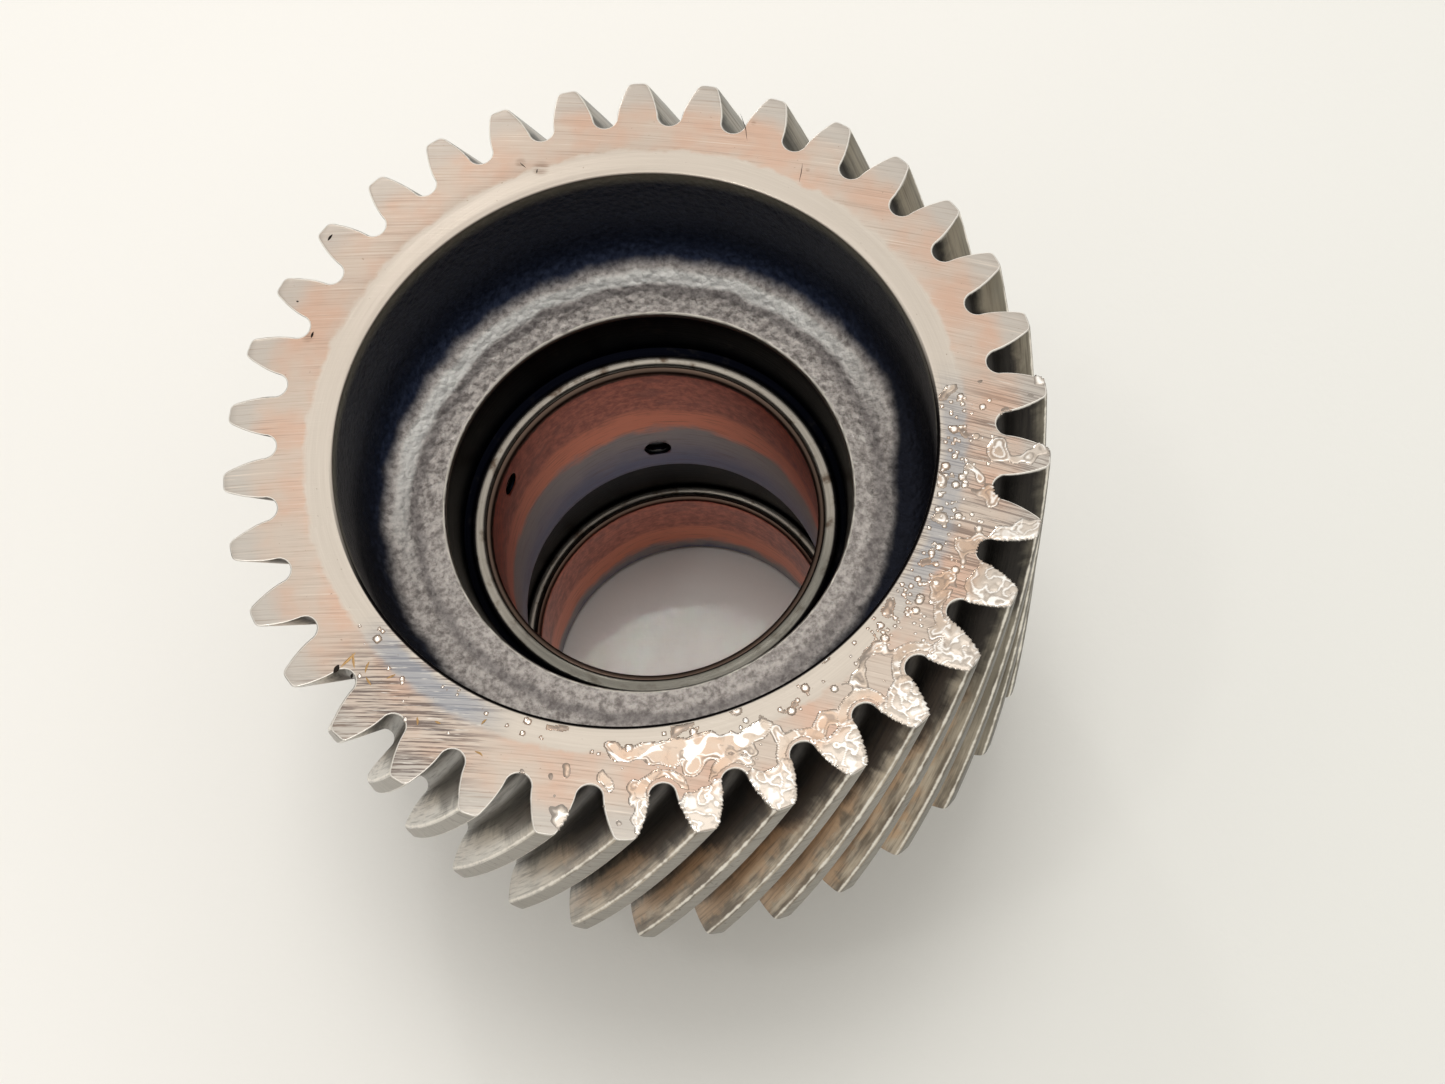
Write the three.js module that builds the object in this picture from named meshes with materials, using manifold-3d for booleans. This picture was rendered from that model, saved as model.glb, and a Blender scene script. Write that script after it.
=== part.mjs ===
// Helical gear with a deep recess in its front face, a long plain hub behind it, and two lined bushes.
// The gear is one forging, turned and hobbed. Each bush is a steel shell with a bonded bronze lining,
// pressed into the hub from its own end, and the gap left between the two bushes holds oil.
// Millimetres and degrees. +Z runs along the gear's axis and out of the recessed front face.
// The origin is on the axis, in the end face of the hub, which is the face that the gear stands on.
import * as THREE from 'three';
import { mergeVertices } from 'three/addons/utils/BufferGeometryUtils.js';
import Module from 'manifold-3d';

// Teeth. One tooth is centred on +X in the front face.
const TEETH = 34;
const NORMAL_MODULE = 2;
const HELIX_ANGLE = 21.5; // at the pitch circle, right-hand
const NORMAL_PRESSURE_ANGLE = 16;
const TOOTH_SHARE = 0.54; // of the circular pitch, filled by the tooth at the pitch circle
const TIP_RADIUS = 39;
const ROOT_RADIUS = 34;
const FACE_WIDTH = 40;

// Gear body, its depths measured from the front face.
const OVERALL_LENGTH = 70;
const RECESS_RADIUS = 28.5;
const WEB_DEPTH = 14.4;
const WEB_FILLET = 3.6;
const COUNTERBORE_RADIUS = 20.4;
const COUNTERBORE_FOOT_RADIUS = 19.6;
const SEAT_CHAMFER = 0.6;

// Rear side: a U-shaped relief between the toothed rim and the hub.
const RELIEF_RADIUS = 29;
const RELIEF_DEPTH = 8;
const RELIEF_FILLET = 2.5;
const HUB_RADIUS = 23;
const HUB_CHAMFER = 0.8;

// Bushes.
const BORE_RADIUS = 16.75;
const LINING_THICKNESS = 0.6;
const BUSH_SEAT_RADIUS = 18.8;
const PRESS_GAP = 0.05; // stands for each press fit and each bonded face
const FRONT_BUSH_DEPTH = 20.4;
const FRONT_BUSH_LENGTH = 23.8;
const REAR_BUSH_LENGTH = 14.9;
const REAR_BUSH_INSET = 0.5;
const SHELL_CHAMFER = 0.3;
const LINING_CHAMFER = 0.6;

// Oil holes, by the height of their mouth in the bore and their angle about the axis from +X.
const OIL_HOLE = { radius: 1.5, depth: 39.3, angle: 80, slope: 20 };
const OIL_POCKET = { radius: 1.2, depth: 24, angle: 143, slope: 0 };

// Facets.
const HELIX_STEPS = 6;
const FLANK_STEPS = 3;
const ROOT_STEPS = 4;
const ROUND_STEPS = 60;
const FILLET_STEPS = 3;
const HOLE_STEPS = 12;
const CUT_MARGIN = 1; // how far a cutting solid runs past the face it cuts
const MERGE_TOLERANCE = 1e-4;

const radians = THREE.MathUtils.degToRad;
const module3d = await Module();
module3d.setup();

// Tooth geometry in the plane across the axis.
const pitchRadius = (TEETH * NORMAL_MODULE) / (2 * Math.cos(radians(HELIX_ANGLE)));
const pressureAngle = Math.atan(Math.tan(radians(NORMAL_PRESSURE_ANGLE)) / Math.cos(radians(HELIX_ANGLE)));
const baseRadius = pitchRadius * Math.cos(pressureAngle);
const halfPitch = Math.PI / TEETH;
const twistPerMillimetre = Math.tan(radians(HELIX_ANGLE)) / pitchRadius;
const webTop = OVERALL_LENGTH - WEB_DEPTH;
const rimBottom = OVERALL_LENGTH - FACE_WIDTH;
const frontBushTop = OVERALL_LENGTH - FRONT_BUSH_DEPTH;

function involute(angle) {
  return Math.tan(angle) - angle;
}

// Half the angle that a tooth fills at a radius on its involute flank.
function toothHalfAngle(radius) {
  const share = TOOTH_SHARE * halfPitch;
  return share + involute(pressureAngle) - involute(Math.acos(Math.min(1, baseRadius / radius)));
}

// Radius of the round root between two teeth: it touches the root circle and meets both flanks.
function rootRounding() {
  let rounding = 1;
  for (let pass = 0; pass < 20; pass += 1) {
    const centre = ROOT_RADIUS + rounding;
    rounding = centre * (halfPitch - toothHalfAngle(centre));
  }
  return rounding;
}

function polar(radius, angle) {
  return new THREE.Vector2(radius * Math.cos(angle), radius * Math.sin(angle));
}

// One tooth and the space after it, counter-clockwise, starting at the foot of its first flank.
function toothOutline(centreAngle) {
  const rounding = rootRounding();
  const flankStart = ROOT_RADIUS + rounding;
  const points = [];
  for (const side of [-1, 1]) {
    for (let step = 0; step <= FLANK_STEPS; step += 1) {
      const along = side < 0 ? step / FLANK_STEPS : 1 - step / FLANK_STEPS;
      const radius = flankStart + (TIP_RADIUS - flankStart) * along;
      points.push(polar(radius, centreAngle + side * toothHalfAngle(radius)));
    }
  }
  const spaceAngle = centreAngle + halfPitch;
  const centre = polar(flankStart, spaceAngle);
  for (let step = 1; step < ROOT_STEPS; step += 1) {
    const turn = spaceAngle - Math.PI / 2 - (Math.PI * step) / ROOT_STEPS;
    points.push(polar(rounding, turn).add(centre));
  }
  return points;
}

function toSolid(geometry) {
  geometry.deleteAttribute('normal');
  geometry.deleteAttribute('uv');
  const merged = mergeVertices(geometry, MERGE_TOLERANCE);
  const mesh = new module3d.Mesh({
    numProp: 3,
    vertProperties: new Float32Array(merged.attributes.position.array),
    triVerts: new Uint32Array(merged.index.array),
  });
  return new module3d.Manifold(mesh);
}

function toGeometry(solid) {
  const mesh = solid.getMesh();
  const geometry = new THREE.BufferGeometry();
  geometry.setAttribute('position', new THREE.BufferAttribute(new Float32Array(mesh.vertProperties), 3));
  geometry.setIndex(new THREE.BufferAttribute(new Uint32Array(mesh.triVerts), 1));
  geometry.computeVertexNormals();
  return geometry;
}

// A solid turned about Z. The outline is a list of [radius, height] that runs upwards on its outside.
function turned(outline) {
  const points = outline.map(([radius, height]) => new THREE.Vector2(radius, height));
  const geometry = new THREE.LatheGeometry(points, ROUND_STEPS);
  return toSolid(geometry.rotateX(Math.PI / 2));
}

// Points on a fillet between two angles, measured in the plane of radius and height.
function fillet(centre, radius, fromDegrees, toDegrees) {
  const points = [];
  for (let step = 0; step <= FILLET_STEPS; step += 1) {
    const angle = radians(fromDegrees + ((toDegrees - fromDegrees) * step) / FILLET_STEPS);
    points.push([centre[0] + radius * Math.cos(angle), centre[1] + radius * Math.sin(angle)]);
  }
  return points;
}

// The toothed blank: the outline of all the teeth, extruded and then twisted along its length.
function toothedBlank() {
  const outline = [];
  for (let tooth = 0; tooth < TEETH; tooth += 1) {
    outline.push(...toothOutline(2 * halfPitch * tooth));
  }
  const shape = new THREE.Shape(outline);
  const geometry = new THREE.ExtrudeGeometry(shape, {
    depth: FACE_WIDTH,
    steps: HELIX_STEPS,
    bevelEnabled: false,
  });
  const position = geometry.attributes.position;
  const point = new THREE.Vector3();
  const axis = new THREE.Vector3(0, 0, 1);
  for (let index = 0; index < position.count; index += 1) {
    point.fromBufferAttribute(position, index);
    point.applyAxisAngle(axis, (point.z - FACE_WIDTH) * twistPerMillimetre);
    position.setXYZ(index, point.x, point.y, point.z + rimBottom);
  }
  return toSolid(geometry);
}

function frontRecess() {
  const filletCentre = [RECESS_RADIUS - WEB_FILLET, webTop + WEB_FILLET];
  return turned([
    [0, webTop],
    ...fillet(filletCentre, WEB_FILLET, 270, 360),
    [RECESS_RADIUS, OVERALL_LENGTH + CUT_MARGIN],
    [0, OVERALL_LENGTH + CUT_MARGIN],
  ]);
}

function rearRelief() {
  const top = rimBottom + RELIEF_DEPTH;
  const bottom = rimBottom - CUT_MARGIN;
  const filletHeight = top - RELIEF_FILLET;
  const outerFillet = fillet([RELIEF_RADIUS - RELIEF_FILLET, filletHeight], RELIEF_FILLET, 0, 90);
  const innerFillet = fillet([HUB_RADIUS + RELIEF_FILLET, filletHeight], RELIEF_FILLET, 90, 180);
  return turned([
    [HUB_RADIUS, bottom],
    [RELIEF_RADIUS, bottom],
    ...outerFillet,
    ...innerFillet,
    [HUB_RADIUS, bottom],
  ]);
}

// The hub reaches up into the web, so that the two join over a real volume.
function hub() {
  return turned([
    [0, 0],
    [HUB_RADIUS - HUB_CHAMFER, 0],
    [HUB_RADIUS, HUB_CHAMFER],
    [HUB_RADIUS, rimBottom + RELIEF_DEPTH + CUT_MARGIN],
    [0, rimBottom + RELIEF_DEPTH + CUT_MARGIN],
  ]);
}

function hubBore() {
  return turned([
    [0, -CUT_MARGIN],
    [BUSH_SEAT_RADIUS + SEAT_CHAMFER, -CUT_MARGIN],
    [BUSH_SEAT_RADIUS + SEAT_CHAMFER, 0],
    [BUSH_SEAT_RADIUS, SEAT_CHAMFER],
    [BUSH_SEAT_RADIUS, frontBushTop - SEAT_CHAMFER],
    [COUNTERBORE_FOOT_RADIUS, frontBushTop],
    [COUNTERBORE_RADIUS, webTop - SEAT_CHAMFER],
    [COUNTERBORE_RADIUS, webTop + CUT_MARGIN],
    [0, webTop + CUT_MARGIN],
  ]);
}

// A drilling that runs outwards from inside the bore, falling towards the rear by its slope.
function drilling(hole, reach) {
  const start = BORE_RADIUS / 2;
  const length = (reach - start) / Math.cos(radians(hole.slope));
  const geometry = new THREE.CylinderGeometry(hole.radius, hole.radius, length, HOLE_STEPS);
  geometry.rotateZ(-Math.PI / 2);
  geometry.translate(length / 2, 0, 0);
  geometry.rotateY(radians(hole.slope));
  const fall = (BORE_RADIUS - start) * Math.tan(radians(hole.slope));
  geometry.translate(start, 0, OVERALL_LENGTH - hole.depth + fall);
  geometry.rotateZ(radians(hole.angle));
  return toSolid(geometry);
}

const oilHole = drilling(OIL_HOLE, HUB_RADIUS + CUT_MARGIN);
const oilPocket = drilling(OIL_POCKET, BUSH_SEAT_RADIUS);

function gearBody() {
  return toothedBlank().subtract(frontRecess()).subtract(rearRelief()).add(hub()).subtract(hubBore())
    .subtract(oilHole);
}

function bushShell(bottom, top) {
  const inner = BORE_RADIUS + LINING_THICKNESS + PRESS_GAP;
  const outer = BUSH_SEAT_RADIUS - PRESS_GAP;
  return turned([
    [inner, bottom],
    [outer - SHELL_CHAMFER, bottom],
    [outer, bottom + SHELL_CHAMFER],
    [outer, top - SHELL_CHAMFER],
    [outer - SHELL_CHAMFER, top],
    [inner, top],
    [inner, bottom],
  ]);
}

function bushLining(bottom, top) {
  const outer = BORE_RADIUS + LINING_THICKNESS;
  return turned([
    [BORE_RADIUS, bottom + LINING_CHAMFER],
    [outer, bottom],
    [outer, top],
    [BORE_RADIUS, top - LINING_CHAMFER],
    [BORE_RADIUS, bottom + LINING_CHAMFER],
  ]);
}

// Only the front bush is drilled: once for the oil hole through the hub, and once for a blind pocket.
function drilled(bush) {
  return bush.subtract(oilHole).subtract(oilPocket);
}

function addPiece(name, solid, color, roughness) {
  const material = new THREE.MeshStandardMaterial({ color, roughness, metalness: 1 });
  const mesh = new THREE.Mesh(toGeometry(solid), material);
  mesh.name = name;
  gear.add(mesh);
}

const FORGED_STEEL = 0xa69b93;
const SHELL_STEEL = 0xb0a696;
const BRONZE = 0x9a5a45;
const frontBushBottom = frontBushTop - FRONT_BUSH_LENGTH;
const rearBushTop = REAR_BUSH_INSET + REAR_BUSH_LENGTH;

const gear = new THREE.Group();
addPiece('gear_body', gearBody(), FORGED_STEEL, 0.35);
addPiece('front_bush_shell', drilled(bushShell(frontBushBottom, frontBushTop)), SHELL_STEEL, 0.3);
addPiece('front_bush_lining', drilled(bushLining(frontBushBottom, frontBushTop)), BRONZE, 0.4);
addPiece('rear_bush_shell', bushShell(REAR_BUSH_INSET, rearBushTop), SHELL_STEEL, 0.3);
addPiece('rear_bush_lining', bushLining(REAR_BUSH_INSET, rearBushTop), BRONZE, 0.4);

export default gear;
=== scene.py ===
import math

import bpy
import numpy as np
from mathutils import Matrix, Vector, noise


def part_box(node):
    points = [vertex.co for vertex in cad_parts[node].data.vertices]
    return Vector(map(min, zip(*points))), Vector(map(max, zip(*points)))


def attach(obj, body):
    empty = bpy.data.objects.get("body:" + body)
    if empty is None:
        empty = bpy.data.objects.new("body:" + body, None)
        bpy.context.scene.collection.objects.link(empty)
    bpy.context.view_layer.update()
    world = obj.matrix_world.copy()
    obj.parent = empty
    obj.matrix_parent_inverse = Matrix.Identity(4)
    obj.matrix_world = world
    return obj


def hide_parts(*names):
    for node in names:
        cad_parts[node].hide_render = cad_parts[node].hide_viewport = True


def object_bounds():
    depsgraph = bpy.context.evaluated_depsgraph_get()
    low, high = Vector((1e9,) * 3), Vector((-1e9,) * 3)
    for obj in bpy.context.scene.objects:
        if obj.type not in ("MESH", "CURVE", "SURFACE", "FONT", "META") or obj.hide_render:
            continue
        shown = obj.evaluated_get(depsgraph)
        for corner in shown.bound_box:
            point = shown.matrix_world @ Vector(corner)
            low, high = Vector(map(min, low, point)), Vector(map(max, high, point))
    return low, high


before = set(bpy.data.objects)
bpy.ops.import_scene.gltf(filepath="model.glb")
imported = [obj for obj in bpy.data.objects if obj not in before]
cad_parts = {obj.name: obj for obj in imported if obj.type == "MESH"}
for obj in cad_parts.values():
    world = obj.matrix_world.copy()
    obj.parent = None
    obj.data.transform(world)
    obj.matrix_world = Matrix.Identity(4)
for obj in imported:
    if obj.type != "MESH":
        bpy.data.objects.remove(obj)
cad_low, cad_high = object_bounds()

# Sizes are in millimetres and angles in degrees, as in the CAD model, until a mesh is made in metres.
# Z is the height above the floor, and the gear stands on the end of its hub.
MM = 0.001
TEETH = 34
HALF_PITCH = math.pi / TEETH
NORMAL_MODULE = 2
HELIX = math.radians(21.5)
NORMAL_PRESSURE = math.radians(16)
TOOTH_SHARE = 0.54
TIP_RADIUS = 38.97
ROOT_RADIUS = 34
LENGTH = cad_high.z / MM
FACE_WIDTH = 40
FRONT = LENGTH - 0.1  # the steel face, a film of oil below the top of the CAD model
REAR = LENGTH - FACE_WIDTH

PITCH_RADIUS = TEETH * NORMAL_MODULE / (2 * math.cos(HELIX))
PRESSURE = math.atan(math.tan(NORMAL_PRESSURE) / math.cos(HELIX))
BASE_RADIUS = PITCH_RADIUS * math.cos(PRESSURE)
TWIST = math.tan(HELIX) / PITCH_RADIUS  # radians per millimetre of height

RECESS_RADIUS = 28.5
WEB_HEIGHT = LENGTH - 14.4
WEB_FILLET = 3.6
COUNTERBORE_RADIUS = 20.4
COUNTERBORE_FOOT = 19.6
SEAT_CHAMFER = 0.6
HUB_RADIUS = 23
HUB_CHAMFER = 0.8
RELIEF_RADIUS = 29
RELIEF_TOP = REAR + 8
RELIEF_FILLET = 2.5
BAND_RADIUS = 31.2  # outer edge of the finely turned band round the recess

shell_low, shell_high = (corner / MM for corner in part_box("front_bush_shell"))
rear_low, rear_high = (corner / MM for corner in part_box("rear_bush_shell"))
lining_low, lining_high = (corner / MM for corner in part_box("front_bush_lining"))
SHELL_OUTER = shell_high.x
LINING_OUTER = lining_high.x
LINING_THICKNESS = 0.6
BORE_RADIUS = LINING_OUTER - LINING_THICKNESS
SEAT_RADIUS = SHELL_OUTER + 0.05

OIL_HOLE = {"radius": 1.5, "height": LENGTH - 39.3, "angle": 80, "slope": 20}
OIL_POCKET = {"radius": 1.2, "height": LENGTH - 24, "angle": 143, "slope": 0}

FACE_CIRCLE = 33.2  # the mesh of both faces is plain rings from here inwards
COARSE_CIRCLE = 32.6  # and has half as many points round it from here
BORE_CHAMFER, REAR_ROUND = 0.55, 0.35  # at the front and rear ends of a lining's running surface
BAND_HEIGHT = FRONT - 0.025  # the turned band round the recess

# Mesh density.
ROOT_STEPS, FLANK_STEPS, CORNER_STEPS, LAND_STEPS = 6, 7, 3, 2
HALF_TOOTH = ROOT_STEPS + FLANK_STEPS + CORNER_STEPS + LAND_STEPS
FINE = 2 * HALF_TOOTH * TEETH
COARSE = FINE // 2
TOOTH_SLICES = 23
HOLE_SIDES = 48


# ------------------------------------------------------------------------------------------ materials


class Shader:
    """Builds one node material. A method that makes a node gives back the socket with its result."""

    def __init__(self, name):
        self.material = bpy.data.materials.new(name)
        self.material.use_nodes = True
        self.nodes = self.material.node_tree.nodes
        self.links = self.material.node_tree.links
        self.surface = self.nodes["Principled BSDF"]
        coordinates = self.node("ShaderNodeTexCoord").outputs["Object"]
        self.place = self.vector("SCALE", coordinates, scale=1 / MM)
        split = self.node("ShaderNodeSeparateXYZ", self.place)
        self.x, self.y, self.z = split.outputs
        self.radius = self.math("SQRT", self.plus(self.times(self.x, self.x), self.times(self.y, self.y)))
        self.angle = self.math("ARCTAN2", self.y, self.x)

    def connect(self, value, socket):
        if isinstance(value, bpy.types.NodeSocket):
            self.links.new(value, socket)
        elif value is not None:
            socket.default_value = value

    def node(self, kind, *values, **settings):
        node = self.nodes.new(kind)
        for key, value in settings.items():
            setattr(node, key, value)
        for value, socket in zip(values, node.inputs):
            self.connect(value, socket)
        return node

    def math(self, operation, *values):
        return self.node("ShaderNodeMath", *values, operation=operation).outputs[0]

    def times(self, a, b):
        return self.math("MULTIPLY", a, b)

    def plus(self, a, b):
        return self.math("ADD", a, b)

    def minus(self, a, b):
        return self.math("SUBTRACT", a, b)

    def vector(self, operation, *values, scale=None):
        node = self.node("ShaderNodeVectorMath", *values, operation=operation)
        if scale is not None:
            self.connect(scale, node.inputs["Scale"])
        return node.outputs["Value" if operation == "LENGTH" else "Vector"]

    def join(self, x, y, z):
        return self.node("ShaderNodeCombineXYZ", x, y, z).outputs[0]

    def noise(self, at, scale, detail=2.0, roughness=0.5, distortion=0.0):
        node = self.node("ShaderNodeTexNoise")
        for name, value in (("Vector", at), ("Scale", scale), ("Detail", detail),
                            ("Roughness", roughness), ("Distortion", distortion)):
            self.connect(value, node.inputs[name])
        return node.outputs["Fac"]

    def cells(self, at, scale, feature="F1"):
        node = self.node("ShaderNodeTexVoronoi", feature=feature)
        self.connect(at, node.inputs["Vector"])
        self.connect(scale, node.inputs["Scale"])
        return node.outputs["Distance"]

    def between(self, value, low, high):
        """0 below low, 1 above high, and smooth in between. low may be above high."""
        values = (value, low, high, 0.0, 1.0)
        return self.node("ShaderNodeMapRange", *values, interpolation_type="SMOOTHSTEP").outputs[0]

    def mix(self, share, a, b):
        """A colour from a at 0 to b at 1."""
        node = self.node("ShaderNodeMix", data_type="RGBA")
        for value, socket in ((share, node.inputs[0]), (a, node.inputs[6]), (b, node.inputs[7])):
            self.connect(colour(value) if isinstance(value, tuple) else value, socket)
        return node.outputs[2]

    def blend(self, share, a, b):
        """A number from a at 0 to b at 1."""
        node = self.node("ShaderNodeMix", data_type="FLOAT")
        for value, socket in ((share, node.inputs[0]), (a, node.inputs[2]), (b, node.inputs[3])):
            self.connect(value, socket)
        return node.outputs[0]

    def worn_edge(self):
        """1 along the rubbed corners of the teeth, in a line of uneven width."""
        uneven = self.times(self.minus(self.noise(self.place, 0.55, 4.0, 0.6), 0.5), 0.9)
        return self.between(self.plus(self.attribute("wear"), uneven), 0.55, 0.95)

    def attribute(self, name):
        return self.node("ShaderNodeAttribute", attribute_name=name).outputs["Fac"]

    def bump(self, height, depth, below=None):
        """A normal from a height of 0 to 1, which stands for a depth in millimetres."""
        node = self.node("ShaderNodeBump")
        node.inputs["Strength"].default_value = 1.0
        node.inputs["Distance"].default_value = depth * MM
        self.connect(height, node.inputs["Height"])
        if below is not None:
            self.connect(below, node.inputs["Normal"])
        return node.outputs[0]

    def finish(self, base, roughness, normal=None, metallic=1.0):
        for name, value in (("Base Color", base), ("Roughness", roughness),
                            ("Normal", normal), ("Metallic", metallic)):
            self.connect(colour(value) if isinstance(value, tuple) else value, self.surface.inputs[name])
        return self.material


def colour(rgb):
    """A linear colour from an sRGB one given as 0 to 255."""
    linear = (c / 255 / 12.92 if c <= 10 else ((c / 255 + 0.055) / 1.055) ** 2.4 for c in rgb)
    return (*linear, 1.0)


def near(s, azimuth):
    """How far a place's azimuth is from one on the near side of the gear, in radians."""
    return s.math("ABSOLUTE", s.minus(s.angle, math.radians(azimuth)))


def near_turn(s, azimuth):
    """As near, but right for every azimuth: the turn from it is wrapped to half a circle either way."""
    turn = s.minus(s.angle, math.radians(azimuth))
    return s.math("ABSOLUTE", s.math("WRAP", turn, math.pi, -math.pi))


def away_from(s, azimuth, reach):
    """Distance from a spot on the face, given by its azimuth and radius."""
    turn = math.radians(azimuth)
    spot = (reach * math.cos(turn), reach * math.sin(turn), 0.0)
    return s.vector("LENGTH", s.vector("SUBTRACT", s.join(s.x, s.y, 0.0), spot))


SCRATCH_CENTRE = (-81.0, -183.0)  # the face's grinding marks are arcs about this point
# azimuth, radius and size of each brown spot on the face
SPOTS = ((92, 31.0, 1.1), (95, 32.4, 0.7), (144, 33.8, 0.8), (55, 35.6, 0.35), (43, 32.8, 0.3))


def face_steel():
    """Front face: ground along wide arcs, stained by oil, with a finely turned band round the recess."""
    s = Shader("face_steel")
    flat = s.join(s.x, s.y, 0.0)
    from_centre = s.vector("SUBTRACT", flat, (*SCRATCH_CENTRE, 0.0))
    split = s.node("ShaderNodeSeparateXYZ", from_centre)
    reach = s.vector("LENGTH", from_centre)
    turn = s.times(s.math("ARCTAN2", split.outputs[1], split.outputs[0]), 200.0)
    fine = s.noise(s.join(reach, s.times(turn, 0.012), 0.0), 6.0, 5.0, 0.7)
    coarse = s.noise(s.join(reach, s.times(turn, 0.022), 9.0), 5.2, 4.0, 0.66)
    light_marks = s.noise(s.join(reach, s.times(turn, 0.04), 4.0), 5.0, 3.0, 0.7)
    patches = s.noise(flat, 0.16, 3.0, 0.55)
    specks = s.between(s.noise(flat, 2.2, 3.0, 0.6), 0.68, 0.76)

    wander = s.times(s.minus(s.noise(flat, 0.5, 3.0, 0.6), 0.5), 1.5)
    edge = s.plus(s.radius, wander)
    band = s.between(edge, BAND_RADIUS + 0.3, BAND_RADIUS - 0.3)
    tips = s.between(edge, 35.0, 37.4)
    rings = s.noise(s.join(s.radius, s.times(s.angle, 0.6), 0.0), 6.0, 3.0, 0.6)

    ground = s.mix(s.between(patches, 0.35, 0.68), (192, 178, 164), (197, 166, 146))
    ground = s.mix(tips, ground, (184, 176, 166))
    ground = s.mix(s.times(s.between(fine, 0.5, 0.74), 0.8), ground, (148, 130, 115))
    ground = s.mix(s.between(fine, 0.45, 0.25), ground, (212, 199, 184))
    turned = s.mix(rings, (204, 194, 181), (184, 173, 160))
    base = s.mix(band, ground, turned)
    # Painted shade: the face is darker towards the far side.
    face_far_shade = s.times(s.between(near_turn(s, 108), 1.1, 0.4), s.blend(band, 0.26, 0.14))
    base = s.mix(face_far_shade, base, (128, 106, 90))
    for azimuth, reach, size in SPOTS:
        spot = s.between(away_from(s, azimuth, reach), size, size * 0.3)
        base = s.mix(s.times(s.times(spot, s.between(fine, 0.4, 0.6)), 0.6), base, (112, 84, 66))

    # Where the marks were left deep and wet: at one side, and less so all along the oiled side.
    deep = s.between(near(s, -143), 0.32, 0.12)
    oiled = s.between(near(s, -30), 0.5, 0.22)
    streaked = s.math("MAXIMUM", deep, s.times(oiled, 0.75))
    dark = s.times(s.between(coarse, 0.48, 0.57), streaked)
    base = s.mix(s.times(dark, 0.85), base, s.mix(patches, (66, 68, 78), (122, 98, 78)))
    blue_band = s.times(s.between(edge, 32.0, 30.6), s.between(edge, 28.7, 29.7))
    blue = s.times(blue_band, streaked)
    base = s.mix(s.times(blue, s.blend(fine, 0.45, 0.9)), base, (138, 143, 151))
    scored = s.times(s.between(light_marks, 0.6, 0.7), s.blend(streaked, 0.1, 0.9))
    base = s.mix(scored, base, (232, 225, 213))
    base = s.mix(s.times(specks, 0.55), base, (118, 94, 78))
    # Painted shadow: a thin black line on the face along the recess edge, on the lower side only.
    lower = s.between(near_turn(s, -90), 1.9, 1.3)
    lip = s.times(s.between(s.radius, RECESS_RADIUS + 0.4, RECESS_RADIUS + 0.26), lower)
    base = s.mix(lip, base, (14, 12, 12))

    rough = s.plus(s.times(fine, 0.16), s.blend(band, 0.28, 0.24))
    normal = s.bump(s.blend(band, fine, rings), 0.005, s.bump(coarse, 0.008))
    return s.finish(base, rough, normal)


def flank_steel():
    """Tooth flanks and roots: hobbed and run in, streaked along the helix, with painted shade in the roots.
    """
    s = Shader("flank_steel")
    lead = s.minus(s.angle, s.times(s.minus(s.z, LENGTH), TWIST))
    across = s.times(lead, PITCH_RADIUS)
    marks = s.noise(s.join(across, s.radius, s.times(s.z, 0.035)), 3.6, 5.0, 0.6)
    smears = s.noise(s.join(across, s.times(s.radius, 0.9), s.times(s.z, 0.16)), 0.55, 4.0, 0.62)
    stains = s.noise(s.place, 0.32, 4.0, 0.6, 0.4)
    wander = s.times(s.minus(stains, 0.5), 3.0)
    reach = s.plus(s.radius, wander)
    # Painted shade: near the front face on the near side, the dark of the roots reaches further up the
    # flanks.
    shaded_gaps = s.between(near(s, -75), 1.5, 1.0)
    shade = s.times(s.times(s.between(s.z, FRONT - 20, FRONT - 6), 2.6), shaded_gaps)
    far_side = s.between(near_turn(s, 90), 1.1, 0.6)
    below = s.minus(reach, shade)
    depth = s.between(below, ROOT_RADIUS + 2.7, ROOT_RADIUS + 0.9)
    streak = s.times(s.between(reach, ROOT_RADIUS + 1.6, ROOT_RADIUS + 2.6),
                     s.between(reach, ROOT_RADIUS + 4.2, ROOT_RADIUS + 3.2))
    dull_side = s.between(near(s, 0), 1.15, 0.7)
    pale_side = s.between(near(s, -142), 0.5, 0.25)
    base = s.mix(s.between(smears, 0.38, 0.62), (186, 173, 155), (112, 100, 86))
    base = s.mix(s.times(streak, 0.8), base, (186, 156, 126))
    base = s.mix(s.times(pale_side, 0.8), base, (214, 210, 202))
    base = s.mix(s.times(far_side, 0.8), base, s.mix(marks, (160, 161, 156), (124, 124, 120)))
    base = s.mix(s.times(dull_side, 0.9), base, s.mix(smears, (146, 140, 127), (106, 101, 90)))
    base = s.mix(s.times(s.between(marks, 0.45, 0.7), 0.6), base, (82, 74, 66))
    # Painted shade in the roots, fainter on the pale and far sides.
    faint_root_shade = s.math("MAXIMUM", pale_side, far_side)
    base = s.mix(s.times(depth, s.blend(faint_root_shade, 0.88, 0.6)), base, (32, 31, 34))
    base = s.mix(s.worn_edge(), base, (236, 230, 220))
    rough = s.plus(s.times(marks, 0.2), s.blend(depth, 0.22, 0.34))
    normal = s.bump(marks, 0.014, s.bump(stains, 0.03))
    return s.finish(base, rough, normal)


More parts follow.
